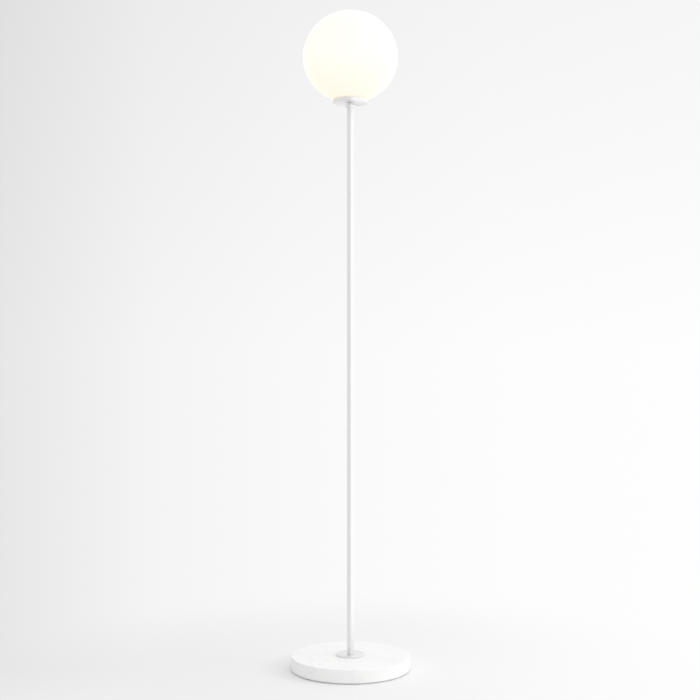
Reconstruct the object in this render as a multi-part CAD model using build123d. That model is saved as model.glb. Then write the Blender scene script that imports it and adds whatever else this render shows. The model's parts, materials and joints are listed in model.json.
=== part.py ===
from build123d import *
import os
from math import acos, cos, degrees, pi, radians, sin, sqrt, tan

# Globe floor lamp: a stone disc base, a slim three-piece metal pole and an opal glass globe that
# sits in a shallow metal dish. All sizes are millimetres. The origin is on the floor under the
# middle of the base, +Z is up, the front faces -Y and the supply cord enters at the back, +Y.

# Driving dimensions
TOTAL_HEIGHT = 1525.0
GLOBE_RADIUS = 110.0           # the blown globe is a little flatter than a sphere, more so below
GLOBE_HALF_HEIGHT = 107.0
GLOBE_LOWER_HEIGHT = 102.75    # half height of the ellipse that the lower half follows
GLASS = 2.5                    # wall of the glass
NECK_OUTER = 37.0              # short glass neck that drops into the dish
NECK_INNER = 33.0

BASE_RADIUS = 137.5
STONE_THICK = 30.0
PAD_THICK = 2.7
PAD_INSET = 4.0                # the pad stays this far inside the stone's edge
COLLAR_RADIUS = 32.5
COLLAR_THICK = 3.5
COLLAR_PAD = 0.5

POLE_RADIUS = 8.0
POLE_WALL = 1.0
POLE_SECTIONS = 3
FERRULE_RADIUS = 11.75
FERRULE_TALL = 6.5
SPACER_RADIUS = 6.3
SPACER_TALL = 3.7

DISH_RADIUS = 40.0
DISH_TALL = 9.0
DISH_WALL = 1.5
DISH_EDGE = 1.35               # round-over of the rim's outer edge, which shows the globe's light
SEAL_THICK = 1.1

THREAD_RADIUS = 5.0            # M10 lamp pipe, drawn without its threads
PIPE_BORE = 3.5
NUT_BORE = 5.05                # every hole that is threaded on to the pipe
CLEAR_BORE = 5.2               # every plain hole that the pipe passes through
FIT = 0.1                      # play between pieces pushed into each other

RECESS_RADIUS = 55.0           # hollow under the stone that holds the nut and the terminals
RECESS_DEEP = 20.0
COVER_RADIUS = 68.0
COVER_THICK = 1.5
COVER_SCREW_RING = 61.5
CHANNEL_WIDE = 12.0            # groove for the cord, from the recess to the back edge
CHANNEL_DEEP = 10.5
CORD_BORE = 3.4                # radius of the hole that takes the supply cord
CORD_Z = PAD_THICK + 5.5       # height of that hole in the channel

LEAD_RADIUS = 1.1              # one insulated conductor
LEAD_APART = 1.5               # distance of each conductor from the pole's axis

SCREW_PITCH = 3.62             # round E27 thread, one turn of the bulb
BULB_RADIUS = 30.0

# Levels worked out from the driving dimensions
STONE_LOW = PAD_THICK
STONE_TOP = STONE_LOW + STONE_THICK
RECESS_TOP = STONE_LOW + RECESS_DEEP
COLLAR_LOW = STONE_TOP + COLLAR_PAD
POLE_LOW = COLLAR_LOW + COLLAR_THICK

GLOBE_Z = TOTAL_HEIGHT - GLOBE_HALF_HEIGHT
SHOULDER_Z = GLOBE_Z - GLOBE_LOWER_HEIGHT * sqrt(1 - (NECK_OUTER / GLOBE_RADIUS) ** 2)
RIM_Z = SHOULDER_Z - 0.3
DISH_LOW = RIM_Z - DISH_TALL
DISH_FLOOR = DISH_LOW + DISH_WALL
LIP_Z = DISH_FLOOR + SEAL_THICK
POLE_TOP = DISH_LOW - SPACER_TALL - FERRULE_TALL
SECTION = (POLE_TOP - POLE_LOW) / POLE_SECTIONS

SPIDER_THICK = 0.6
WASHER_THICK = 0.8
DISH_NUT_TALL = 3.0
HOLDER_LOW = DISH_FLOOR + SPIDER_THICK + WASHER_THICK + DISH_NUT_TALL
PIPE_TOP = HOLDER_LOW + 4.7
CORE_LOW = HOLDER_LOW + 22.0
CORE_TOP = CORE_LOW + 8.0
HOLDER_RIM = CORE_TOP + 27.0
BULB_LOW = CORE_TOP + 4.2      # underside of the bulb's centre contact

CLAMP_THICK = 3.0
CLAMP_LOW = RECESS_TOP - CLAMP_THICK
LOCK_THICK = 2.0
STUD_NUT_TALL = 6.0
STUD_NUT_LOW = CLAMP_LOW - LOCK_THICK - STUD_NUT_TALL
STUD_LOW = STUD_NUT_LOW - 1.0

BLOCK_LONG = 14.0
BLOCK_WIDE = 17.0
BLOCK_TALL = 9.0
BLOCK_Y = 31.0
BLOCK_LOW = CLAMP_LOW - BLOCK_TALL
TERMINAL_X = 4.4
TERMINAL_Z = BLOCK_LOW + 4.0
SADDLE_Y = 43.0                # the saddle that pinches the supply cord
SADDLE_SCREW_X = 8.0

BUSH_LONG = 20.0
BUSH_INSET = 0.5
LIVE_X = 6.5                   # the two terminals under the lampholder's core
NEUTRAL_X = -12.0
LUG_TALL = 4.5


def turned(points, radii=0.0):
    """A solid turned about Z from a closed (radius, height) outline with rounded corners."""
    return turn_face(FilletPolyline(*points, radius=radii, close=True))


def turn_face(outline):
    return revolve(Plane.XZ * make_face(outline), Axis.Z)


def ring(outer, inner, low, high):
    return turned([(inner, low), (outer, low), (outer, high), (inner, high)])


def rod(radius, low, high, x=0.0, y=0.0):
    return Pos(x, y, (low + high) / 2) * Cylinder(radius, high - low)


def pipe(low, high):
    """A length of M10 lamp pipe on the axis."""
    return ring(THREAD_RADIUS, PIPE_BORE, low, high)


def hex_nut(across_flats, low, high):
    blank = extrude(Pos(0, 0, low) * RegularPolygon(across_flats / 2, 6, major_radius=False), high - low)
    return blank - rod(NUT_BORE, low - 1, high + 1)


def around(count, start=0.0):
    """Rotations about Z that share a full turn."""
    return [Rot(0, 0, start + 360.0 * i / count) for i in range(count)]


# ---------------------------------------------------------------- base

COVER_HOLE_START = 30.0        # keeps the three cover screws clear of the cord channel


def marble_base():
    stone = turned(
        [(0, STONE_LOW), (BASE_RADIUS, STONE_LOW), (BASE_RADIUS, STONE_TOP), (0, STONE_TOP)],
        [0, 1.0, 1.5, 0],
    )
    stone -= rod(6.0, STONE_LOW, STONE_TOP + 1)
    stone -= rod(RECESS_RADIUS, STONE_LOW - 1, RECESS_TOP)
    stone -= rod(COVER_RADIUS + 0.3, STONE_LOW - 1, STONE_LOW + COVER_THICK)
    stone -= channel(RECESS_RADIUS - 5, BASE_RADIUS + 5, CHANNEL_WIDE)
    for turn in around(3, COVER_HOLE_START):
        stone -= turn * rod(3.0, STONE_LOW, STONE_LOW + COVER_THICK + 9.5, COVER_SCREW_RING)
    return stone


def channel(y_start, y_end, wide):
    """The round-topped groove, open at the underside, as a solid along +Y."""
    half = wide / 2
    straight = STONE_LOW + CHANNEL_DEEP - CHANNEL_WIDE / 2
    section = Polyline((-half, straight), (-half, STONE_LOW), (half, STONE_LOW), (half, straight))
    section += CenterArc((0, straight), half, 0, 180)
    return Pos(0, y_end, 0) * extrude(Plane.XZ * make_face(section), y_end - y_start)


def cord_gland():
    """Rubber bush at the back end of the channel, with a slightly flared mouth for the cord."""
    back = BASE_RADIUS - 0.5
    long = 14.0
    block = channel(back - long, back, CHANNEL_WIDE - 2 * FIT)
    block &= Pos(0, back - long / 2, STONE_LOW + FIT + 20) * Box(40, long, 40)
    bore = turned([(0, -long - 1), (CORD_BORE, -long - 1), (CORD_BORE, -0.6), (CORD_BORE + 0.6, 0), (0, 0)])
    return block - Pos(0, back, CORD_Z) * Rot(-90, 0, 0) * bore


def base_pad():
    return ring(BASE_RADIUS - PAD_INSET, COVER_RADIUS + 2, 0, PAD_THICK)


def bottom_cover():
    cover = rod(COVER_RADIUS, STONE_LOW, STONE_LOW + COVER_THICK)
    for turn in around(3, COVER_HOLE_START):
        cover -= turn * rod(2.2, STONE_LOW - 1, STONE_LOW + 5, COVER_SCREW_RING)
    return cover


def cover_screws():
    head = turned([(0, 1.1), (3.7, 1.1), (3.7, STONE_LOW), (0, STONE_LOW)], [0, 0.8, 0, 0])
    slots = Pos(0, 0, 1.1) * (Box(4, 0.9, 2) + Box(0.9, 4, 2))
    screw = head - slots + rod(2.0, STONE_LOW, STONE_LOW + 8)
    return Compound([turn * Pos(COVER_SCREW_RING, 0, 0) * screw for turn in around(3, COVER_HOLE_START)])


def cover_inserts():
    low = STONE_LOW + COVER_THICK
    insert = ring(2.95, 2.05, low, low + 9)
    return Compound([turn * Pos(COVER_SCREW_RING, 0, 0) * insert for turn in around(3, COVER_HOLE_START)])


def clamp_plate():
    plate = turned(
        [(CLEAR_BORE, CLAMP_LOW), (48, CLAMP_LOW), (48, RECESS_TOP), (CLEAR_BORE, RECESS_TOP)], [0, 0.5, 0.5, 0]
    )
    for x, y in ((0, BLOCK_Y), (-SADDLE_SCREW_X, SADDLE_Y), (SADDLE_SCREW_X, SADDLE_Y)):
        plate -= rod(1.5, CLAMP_LOW - 1, RECESS_TOP + 1, x, y)
    return plate


def lock_washer():
    washer = ring(8.8, CLEAR_BORE, STUD_NUT_LOW + STUD_NUT_TALL, CLAMP_LOW)
    slit = Pos(7, 0, CLAMP_LOW - LOCK_THICK / 2) * Rot(25, 0, 0) * Box(6, 1.2, 8)
    return washer - slit


def stud_nut():
    return hex_nut(17, STUD_NUT_LOW, STUD_NUT_LOW + STUD_NUT_TALL)


def base_stud():
    return pipe(STUD_LOW, POLE_LOW + 18)


def collar_gasket():
    return ring(COLLAR_RADIUS - 1, 6.0, STONE_TOP, COLLAR_LOW)


def base_collar():
    return turned(
        [(CLEAR_BORE, COLLAR_LOW), (COLLAR_RADIUS, COLLAR_LOW), (COLLAR_RADIUS, POLE_LOW), (CLEAR_BORE, POLE_LOW)],
        [0, 0.3, 1.0, 0],
    )


# ---------------------------------------------------------------- terminals in the recess

def across(radius, y_start, y_end, x, z):
    """A rod lying along Y."""
    return Pos(x, (y_start + y_end) / 2, z) * Rot(90, 0, 0) * Cylinder(radius, y_end - y_start)


TERMINAL_SCREW_Y = (BLOCK_Y - 3.5, BLOCK_Y + 3.5)


def terminal_screw_places():
    return [(x, y) for x in (-TERMINAL_X, TERMINAL_X) for y in TERMINAL_SCREW_Y]


def terminal_block():
    block = Pos(0, BLOCK_Y, BLOCK_LOW + BLOCK_TALL / 2) * Box(BLOCK_WIDE, BLOCK_LONG, BLOCK_TALL)
    block = fillet(block.edges().filter_by(Axis.Z), 1.0)
    block -= rod(1.7, BLOCK_LOW - 1, CLAMP_LOW + 1, 0, BLOCK_Y)
    for x in (-TERMINAL_X, TERMINAL_X):
        block -= across(2.05, BLOCK_Y - 10, BLOCK_Y + 10, x, TERMINAL_Z)
    for x, y in terminal_screw_places():
        block -= rod(1.8, BLOCK_LOW - 1, TERMINAL_Z, x, y)
    return block


def terminal_tubes():
    tubes = []
    for x in (-TERMINAL_X, TERMINAL_X):
        tube = across(2.0, BLOCK_Y - 6, BLOCK_Y + 6, x, TERMINAL_Z)
        tube -= across(1.35, BLOCK_Y - 7, BLOCK_Y + 7, x, TERMINAL_Z)
        for y in TERMINAL_SCREW_Y:
            tube -= rod(1.3, BLOCK_LOW, TERMINAL_Z, x, y)
        tubes.append(tube)
    return Compound(tubes)


def terminal_screws():
    screw = rod(1.6, BLOCK_LOW + 0.4, BLOCK_LOW + 1.8) + rod(1.2, BLOCK_LOW + 1.8, TERMINAL_Z - LEAD_RADIUS - 0.1)
    screw -= Pos(0, 0, BLOCK_LOW + 0.4) * Box(5, 0.6, 1.0)
    return Compound([Pos(x, y, 0) * screw for x, y in terminal_screw_places()])


def block_screw():
    head = rod(2.8, BLOCK_LOW - 1.8, BLOCK_LOW) - Pos(0, 0, BLOCK_LOW - 1.8) * Box(8, 0.8, 1.6)
    return Pos(0, BLOCK_Y, 0) * (head + rod(1.45, BLOCK_LOW, RECESS_TOP - 1))


def cord_saddle():
    """Plastic saddle that pinches the supply cord against the clamp plate."""
    tall = 2 * CORD_BORE + 2.2
    middle = CLAMP_LOW - tall / 2
    saddle = Pos(0, SADDLE_Y, middle) * Box(24, 7, tall)
    saddle = fillet(saddle.edges().filter_by(Axis.Z), 1.5)
    saddle -= across(CORD_BORE, SADDLE_Y - 5, SADDLE_Y + 5, 0, CLAMP_LOW - CORD_BORE)
    saddle -= Pos(0, SADDLE_Y, CLAMP_LOW) * Box(2 * CORD_BORE, 10, 2 * CORD_BORE)
    for x in (-SADDLE_SCREW_X, SADDLE_SCREW_X):
        saddle -= rod(1.7, middle - 10, middle + 10, x, SADDLE_Y)
    return saddle


def saddle_screws():
    low = CLAMP_LOW - 2 * CORD_BORE - 2.2
    head = rod(2.8, low - 1.8, low) - Pos(0, 0, low - 1.8) * Box(8, 0.8, 1.6)
    screw = head + rod(1.45, low, RECESS_TOP - 1)
    return Compound([Pos(x, SADDLE_Y, 0) * screw for x in (-SADDLE_SCREW_X, SADDLE_SCREW_X)])


# ---------------------------------------------------------------- pole

def pole_section(number):
    """One length of tube, counted from the bottom, with softened ends that leave a hairline seam."""
    low = POLE_LOW + number * SECTION
    high = low + SECTION
    inner = POLE_RADIUS - POLE_WALL
    return turned(
        [(inner, low), (POLE_RADIUS, low), (POLE_RADIUS, high), (inner, high)], [0, 0.2, 0.2, 0]
    )


def pole_bushes():
    """Threaded bushes pressed into both ends of every section."""
    outer = POLE_RADIUS - POLE_WALL - 0.05
    bushes = []
    for number in range(POLE_SECTIONS):
        low = POLE_LOW + number * SECTION + BUSH_INSET
        high = POLE_LOW + (number + 1) * SECTION - BUSH_INSET
        bushes.append(ring(outer, NUT_BORE, low, low + BUSH_LONG))
        bushes.append(ring(outer, NUT_BORE, high - BUSH_LONG, high))
    return Compound(bushes)


def joint_nipples():
    seams = [POLE_LOW + SECTION * i for i in range(1, POLE_SECTIONS)]
    return Compound([pipe(z - 18, z + 18) for z in seams])


def top_nipple():
    return pipe(POLE_TOP - 18, PIPE_TOP)


def pole_ferrule():
    high = POLE_TOP + FERRULE_TALL
    return turned(
        [(NUT_BORE, POLE_TOP), (FERRULE_RADIUS, POLE_TOP), (FERRULE_RADIUS, high), (NUT_BORE, high)],
        [0, 0.8, 1.4, 0],
    )


def neck_spacer():
    return ring(SPACER_RADIUS, CLEAR_BORE, DISH_LOW - SPACER_TALL, DISH_LOW)


# ---------------------------------------------------------------- dish and globe

def globe_dish():
    inner = DISH_RADIUS - DISH_WALL
    return turned(
        [
            (CLEAR_BORE, DISH_LOW),
            (DISH_RADIUS, DISH_LOW),
            (DISH_RADIUS, RIM_Z),
            (inner, RIM_Z),
            (inner, DISH_FLOOR),
            (CLEAR_BORE, DISH_FLOOR),
        ],
        [0, 1.0, DISH_EDGE, 0.1, 0.5, 0],
    )


def dish_seal():
    """Silicone ring under the glass."""
    return turned(
        [(NECK_INNER - 1, DISH_FLOOR), (NECK_OUTER + 1, DISH_FLOOR), (NECK_OUTER + 1, LIP_Z), (NECK_INNER - 1, LIP_Z)],
        [0.3, 0, 0.3, 0.3],
    )


ARM_WIDE = 6.0
ARM_GRIP = NECK_INNER - 0.8    # centreline of the spring where it presses on the glass


def spring_spider():
    """Three-armed leaf spring that grips the glass from inside its neck."""
    flat = DISH_FLOOR + SPIDER_THICK / 2
    spider = ring(13.0, CLEAR_BORE, DISH_FLOOR, DISH_FLOOR + SPIDER_THICK)
    line = FilletPolyline(
        (11.0, flat),
        (25.0, flat),
        (26.2, flat + 16.0),
        (28.6, flat + 16.0),
        (ARM_GRIP, flat + 3.4),
        (30.4, flat + 1.2),
        radius=[1.5, 1.1, 1.1, 1.2],
    )
    arm = extrude(Plane.XZ * trace(line, SPIDER_THICK), ARM_WIDE / 2, both=True)
    for turn in around(3, 90):
        spider += turn * arm
    return spider


def dish_washer():
    low = DISH_FLOOR + SPIDER_THICK
    washer = ring(8.6, CLEAR_BORE, low, low + WASHER_THICK)
    for turn in around(12):
        washer -= turn * Pos(8.4, 0, low) * Box(1.8, 1.4, 4)
    return washer


def dish_nut():
    return hex_nut(14, HOLDER_LOW - DISH_NUT_TALL, HOLDER_LOW)


def ellipse_arc(wide, high, start, end):
    """Part of an ellipse round the globe's middle, in the radius and height plane."""
    middle, half = (start + end) / 2, (end - start) / 2

    def place(angle, reach=1.0):
        return (wide * cos(angle) / reach, GLOBE_Z + high * sin(angle) / reach)

    return Bezier(place(start), place(middle, cos(half)), place(end), weights=[1, cos(half), 1])


def globe_wall(inset, radius_at_neck):
    """One face of the glass, from the neck up to its widest ring and over the top."""
    wide = GLOBE_RADIUS - inset
    neck = -acos(radius_at_neck / wide)
    lower = ellipse_arc(wide, GLOBE_LOWER_HEIGHT - inset, neck, 0)
    return lower + ellipse_arc(wide, GLOBE_HALF_HEIGHT - inset, 0, pi / 2)


def globe():
    outside = globe_wall(0, NECK_OUTER)
    inside = globe_wall(GLASS, NECK_INNER)
    corner = 1.5
    inner_corner = CenterArc((NECK_INNER + corner, LIP_Z + corner), corner, 180, 90)
    outer_corner = CenterArc((NECK_OUTER - corner, LIP_Z + corner), corner, 270, 90)
    outline = outside + Line(outside @ 0, outer_corner @ 1) + outer_corner
    outline += Line(outer_corner @ 0, inner_corner @ 1)
    outline += inner_corner
    outline += Line(inner_corner @ 0, inside @ 0)
    return turn_face(outline + inside + Line(inside @ 1, outside @ 1))


# ---------------------------------------------------------------- lampholder

CAP_RADIUS = 20.0
CORE_FLANGE = CORE_LOW + 2.0   # the flange rests on the cap and is held down by the shell


def holder_cap():
    return turned(
        [
            (NUT_BORE, HOLDER_LOW),
            (10.0, HOLDER_LOW),
            (10.0, HOLDER_LOW + 3.4),
            (CAP_RADIUS, HOLDER_LOW + 13.0),
            (CAP_RADIUS, CORE_FLANGE),
            (CAP_RADIUS - 2, CORE_FLANGE),
            (CAP_RADIUS - 2, HOLDER_LOW + 14.4),
            (8.0, PIPE_TOP),
            (NUT_BORE, PIPE_TOP),
        ],
        [0, 0.8, 1.5, 3.0, 0.4, 0, 2.0, 1.0, 0],
    )


def holder_core():
    core = turned(
        [
            (0, CORE_LOW),
            (17.6, CORE_LOW),
            (17.6, CORE_FLANGE),
            (18.8, CORE_FLANGE),
            (18.8, CORE_FLANGE + 2),
            (15.2, CORE_FLANGE + 2),
            (15.2, CORE_TOP),
            (0, CORE_TOP),
        ]
    )
    for x in (LIVE_X, NEUTRAL_X):
        core -= rod(1.3, CORE_LOW - 1, CORE_TOP + 1, x)
    return core


def holder_shell():
    """The upper half of the lampholder, whose skirt covers the core's flange and meets the cap."""
    flange_top = CORE_FLANGE + 2
    return turned(
        [
            (18.9, CORE_FLANGE),
            (CAP_RADIUS, CORE_FLANGE),
            (CAP_RADIUS, CORE_FLANGE + 8),
            (18.6, CORE_FLANGE + 12),
            (18.6, HOLDER_RIM),
            (14.8, HOLDER_RIM),
            (14.8, HOLDER_RIM - 3),
            (16.5, HOLDER_RIM - 4.5),
            (16.5, flange_top),
            (18.9, flange_top),
        ],
        [0, 0.4, 3.0, 3.0, 1.0, 0.6, 0, 0, 0, 0],
    )


def contact_shell():
    """Brass screw shell, drawn without its thread: a wall on a flat foot that the neutral rivet meets."""
    return turned(
        [
            (10.6, CORE_TOP),
            (14.4, CORE_TOP),
            (14.4, CORE_TOP + 0.5),
            (14.1, CORE_TOP + 0.5),
            (14.1, HOLDER_RIM - 6),
            (13.7, HOLDER_RIM - 6),
            (13.7, CORE_TOP + 0.5),
            (10.6, CORE_TOP + 0.5),
        ]
    )


def centre_contact():
    """Bronze leaf from the live rivet to the middle of the holder."""
    flat = CORE_TOP + 0.25
    tip = BULB_LOW - 0.55
    line = FilletPolyline((8.1, flat), (4.2, flat), (1.8, tip), (-2.6, tip), radius=[1.0, 1.0])
    return extrude(Plane.XZ * trace(line, 0.5), 2.2, both=True)


def holder_terminals():
    """Brass lugs under the core, each with a rivet stem up through it."""
    lugs = []
    for x in (LIVE_X, NEUTRAL_X):
        lug = Pos(x, 0, CORE_LOW - LUG_TALL / 2) * Box(6, 6, LUG_TALL)
        lug += rod(1.25, CORE_LOW, CORE_TOP, x)
        lug -= rod(LEAD_RADIUS + 0.1, CORE_LOW - LUG_TALL - 1, CORE_LOW - 1, x)
        lug -= across(1.25, -4, 0, x, CORE_LOW - 2.6)
        lugs.append(lug)
    return Compound(lugs)


def holder_screws():
    """Screws that pinch the leads in the lugs, reached from the front."""
    tip = -LEAD_RADIUS - 0.1
    screws = []
    for x in (LIVE_X, NEUTRAL_X):
        z = CORE_LOW - 2.6
        screw = across(1.2, -3.0, tip, x, z) + across(2.2, -4.6, -3.0, x, z)
        screws.append(screw - Pos(x, -4.6, z) * Box(6, 1.2, 0.6))
    return Compound(screws)


# ---------------------------------------------------------------- leads inside the lamp

def lead_route(side, end_x):
    """Corners of one conductor, from the terminal block, under the stud and up to the lampholder."""
    low = STUD_LOW - 4.5
    tube_x = side * TERMINAL_X
    pole_x = side * LEAD_APART
    return [
        (tube_x, BLOCK_Y - 1.0, TERMINAL_Z),
        (tube_x, BLOCK_Y - 10.5, TERMINAL_Z),
        (pole_x, BLOCK_Y - 15.5, low),
        (pole_x, 0.0, low),
        (pole_x, 0.0, PIPE_TOP + 1.5),
        (end_x, 0.0, PIPE_TOP + 9.0),
        (end_x, 0.0, CORE_LOW - 1.6),
    ]


def corner_radii(points):
    """The largest arc that each corner's two straights allow, up to 8 mm."""
    radii = []
    for before, corner, after in zip(points, points[1:], points[2:]):
        arriving = Vector(corner) - Vector(before)
        leaving = Vector(after) - Vector(corner)
        half_turn = radians(arriving.get_angle(leaving)) / 2
        radii.append(min(0.45 * min(arriving.length, leaving.length) / tan(half_turn), 8.0))
    return radii


def lead(name, side, end_x):
    points = lead_route(side, end_x)
    radii = corner_radii(points)
    path = FilletPolyline(*points, radius=radii)
    tube = sweep(Plane(path @ 0, z_dir=path % 0) * Circle(LEAD_RADIUS), path)
    expected = path.length * pi * LEAD_RADIUS**2
    print(name, "length", round(path.length), "bend radii", [round(r, 1) for r in radii])
    print(name, "volume over section times length", round(tube.volume / expected, 4))
    return tube


# ---------------------------------------------------------------- bulb

CAP_CREST = 13.1
CAP_ROOT = 12.3
CAP_LOW = BULB_LOW + 6.0
CAP_HIGH = HOLDER_RIM - 0.2
BODY_LOW = HOLDER_RIM + 0.4
BODY_HIGH = BODY_LOW + 38.0
DOME_Z = BODY_HIGH + 12.0
BODY_TOP_RADIUS = sqrt(BULB_RADIUS**2 - 12.0**2)


def bulb_contact():
    return turned([(0, BULB_LOW), (4.8, BULB_LOW + 1.2), (4.8, BULB_LOW + 2), (0, BULB_LOW + 2)], [0, 0.5, 0, 0])


def bulb_insulator():
    low = BULB_LOW + 2
    return turned([(0, low), (6.0, low), (11.4, CAP_LOW), (0, CAP_LOW)], [0, 0.5, 0, 0])


def bulb_cap():
    """Screw cap with rounded ribs at the thread's pitch, as a thin shell."""
    ribs = 4
    outline = Line((11.6, CAP_LOW), (CAP_ROOT, CAP_LOW + 1.0))
    z = CAP_LOW + 1.0
    for _ in range(ribs):
        crest = (CAP_CREST, z + SCREW_PITCH / 2)
        outline += ThreePointArc((CAP_ROOT, z), crest, (CAP_ROOT, z + SCREW_PITCH))
        z += SCREW_PITCH
    outline += Polyline((CAP_ROOT, z), (CAP_ROOT, CAP_HIGH), (11.6, CAP_HIGH), (11.6, CAP_LOW))
    return turn_face(outline)


def bulb_body():
    """White plastic cone between the cap and the diffuser, hollow for the driver."""
    stem = 11.5
    return turned(
        [
            (stem, CAP_HIGH - 8),
            (stem, CAP_HIGH + 0.3),
            (14.3, BODY_LOW),
            (14.8, BODY_LOW + 6),
            (22.5, BODY_LOW + 22),
            (BODY_TOP_RADIUS, BODY_HIGH),
            (BODY_TOP_RADIUS - 2, BODY_HIGH),
            (20.4, BODY_LOW + 22.4),
            (12.6, BODY_LOW + 6),
            (stem - 1.6, BODY_LOW + 1),
            (stem - 1.6, CAP_HIGH - 8),
        ],
        [0, 0, 0.4, 12, 24, 0, 0, 24, 8, 2, 0],
    )


def bulb_driver():
    board = Pos(0, 0, BODY_LOW + 17) * Box(18, 1.6, 26)
    capacitor = rod(3.6, BODY_LOW + 14, BODY_LOW + 25, 0, 4.2)
    coil = Pos(0, -3.6, BODY_LOW + 20) * Box(9, 5.6, 9)
    return board + capacitor + coil


def led_board():
    low = BODY_HIGH - 3.0
    return rod(24.0, low, low + 1.6)


def led_chips():
    low = BODY_HIGH - 1.4
    chip = Pos(17.0, 0, low + 0.35) * Box(2.8, 3.5, 0.7)
    return Compound([turn * chip for turn in around(12)])


def bulb_dome():
    wall = 1.5
    start = -degrees(acos(sqrt(BULB_RADIUS**2 - 11.8**2) / BULB_RADIUS))
    inner_start = -degrees(acos(sqrt((BULB_RADIUS - wall) ** 2 - 11.8**2) / (BULB_RADIUS - wall)))
    outside = CenterArc((0, DOME_Z), BULB_RADIUS, start, 90 - start)
    inside = CenterArc((0, DOME_Z), BULB_RADIUS - wall, inner_start, 90 - inner_start)
    return turn_face(outside + inside + Line(outside @ 0, inside @ 0) + Line(outside @ 1, inside @ 1))


# ---------------------------------------------------------------- write the pieces

PIECES = {
    "marble_base": marble_base,
    "base_pad": base_pad,
    "bottom_cover": bottom_cover,
    "cover_screws": cover_screws,
    "cover_inserts": cover_inserts,
    "clamp_plate": clamp_plate,
    "lock_washer": lock_washer,
    "stud_nut": stud_nut,
    "base_stud": base_stud,
    "collar_gasket": collar_gasket,
    "base_collar": base_collar,
    "cord_gland": cord_gland,
    "terminal_block": terminal_block,
    "terminal_tubes": terminal_tubes,
    "terminal_screws": terminal_screws,
    "block_screw": block_screw,
    "cord_saddle": cord_saddle,
    "saddle_screws": saddle_screws,
    "pole_lower": lambda: pole_section(0),
    "pole_middle": lambda: pole_section(1),
    "pole_upper": lambda: pole_section(2),
    "pole_bushes": pole_bushes,
    "joint_nipples": joint_nipples,
    "top_nipple": top_nipple,
    "pole_ferrule": pole_ferrule,
    "neck_spacer": neck_spacer,
    "globe_dish": globe_dish,
    "dish_seal": dish_seal,
    "spring_spider": spring_spider,
    "dish_washer": dish_washer,
    "dish_nut": dish_nut,
    "globe": globe,
    "holder_cap": holder_cap,
    "holder_core": holder_core,
    "holder_shell": holder_shell,
    "contact_shell": contact_shell,
    "centre_contact": centre_contact,
    "holder_terminals": holder_terminals,
    "holder_screws": holder_screws,
    "lead_live": lambda: lead("lead_live", 1, LIVE_X),
    "lead_neutral": lambda: lead("lead_neutral", -1, NEUTRAL_X),
    "bulb_contact": bulb_contact,
    "bulb_insulator": bulb_insulator,
    "bulb_cap": bulb_cap,
    "bulb_body": bulb_body,
    "bulb_driver": bulb_driver,
    "led_board": led_board,
    "led_chips": led_chips,
    "bulb_dome": bulb_dome,
}


def main():
    os.makedirs("parts", exist_ok=True)
    for name, build in PIECES.items():
        export_step(build(), os.path.join("parts", name + ".step"))


main()
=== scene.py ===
import bpy
import bmesh
from math import acos, atan2, ceil, cos, pi, radians, sin, tan
from mathutils import Euler, Matrix, Vector, noise
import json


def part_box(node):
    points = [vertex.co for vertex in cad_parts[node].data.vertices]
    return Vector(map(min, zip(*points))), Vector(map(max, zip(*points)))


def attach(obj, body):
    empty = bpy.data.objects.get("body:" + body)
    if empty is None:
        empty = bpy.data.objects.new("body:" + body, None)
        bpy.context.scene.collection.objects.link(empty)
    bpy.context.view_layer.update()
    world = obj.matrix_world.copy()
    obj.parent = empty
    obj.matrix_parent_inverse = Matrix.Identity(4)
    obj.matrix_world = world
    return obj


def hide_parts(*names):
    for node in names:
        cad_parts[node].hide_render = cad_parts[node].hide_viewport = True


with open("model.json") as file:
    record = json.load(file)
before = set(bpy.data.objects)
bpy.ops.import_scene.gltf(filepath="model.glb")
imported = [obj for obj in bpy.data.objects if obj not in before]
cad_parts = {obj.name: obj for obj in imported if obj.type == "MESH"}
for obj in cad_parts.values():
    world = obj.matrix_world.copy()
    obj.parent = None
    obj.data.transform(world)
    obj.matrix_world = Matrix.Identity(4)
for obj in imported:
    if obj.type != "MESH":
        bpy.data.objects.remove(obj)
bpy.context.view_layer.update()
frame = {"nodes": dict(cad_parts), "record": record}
nodes = frame["nodes"]
print("frame loaded,", len(nodes), "nodes")


# small helpers for node trees

def addNode(tree, kind, inputs=None, **settings):
    made = tree.nodes.new(kind)
    for key, value in settings.items():
        setattr(made, key, value)
    for key, value in (inputs or {}).items():
        if isinstance(value, bpy.types.NodeSocket):
            tree.links.new(value, made.inputs[key])
        else:
            made.inputs[key].default_value = value
    return made


def maths(tree, operation, first, second=0.0, third=0.0, clamp=False):
    inputs = {0: first, 1: second, 2: third}
    return addNode(tree, "ShaderNodeMath", inputs, operation=operation, use_clamp=clamp).outputs[0]


def plus(tree, first, second):
    return maths(tree, "ADD", first, second)


def times(tree, first, second):
    return maths(tree, "MULTIPLY", first, second)


def mixColours(tree, share, first, second, blend="MIX"):
    inputs = {0: share, 6: first, 7: second}
    return addNode(tree, "ShaderNodeMix", inputs, data_type="RGBA", blend_type=blend).outputs[2]


def mixShaders(tree, share, first, second):
    inputs = {0: share, 1: first.outputs[0], 2: second.outputs[0]}
    return addNode(tree, "ShaderNodeMixShader", inputs)


def ramp(tree, value, stops):
    made = addNode(tree, "ShaderNodeValToRGB", {0: value})
    elements = made.color_ramp.elements
    while len(elements) < len(stops):
        elements.new(0.5)
    for element, (place, colour) in zip(elements, stops):
        element.position = place
        element.color = (*colour, 1.0)
    return made.outputs[0]


def spread(tree, value, fromLow, fromHigh, toLow, toHigh, smooth=False):
    inputs = {0: value, 1: fromLow, 2: fromHigh, 3: toLow, 4: toHigh}
    kind = "SMOOTHSTEP" if smooth else "LINEAR"
    return addNode(tree, "ShaderNodeMapRange", inputs, interpolation_type=kind).outputs[0]


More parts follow.
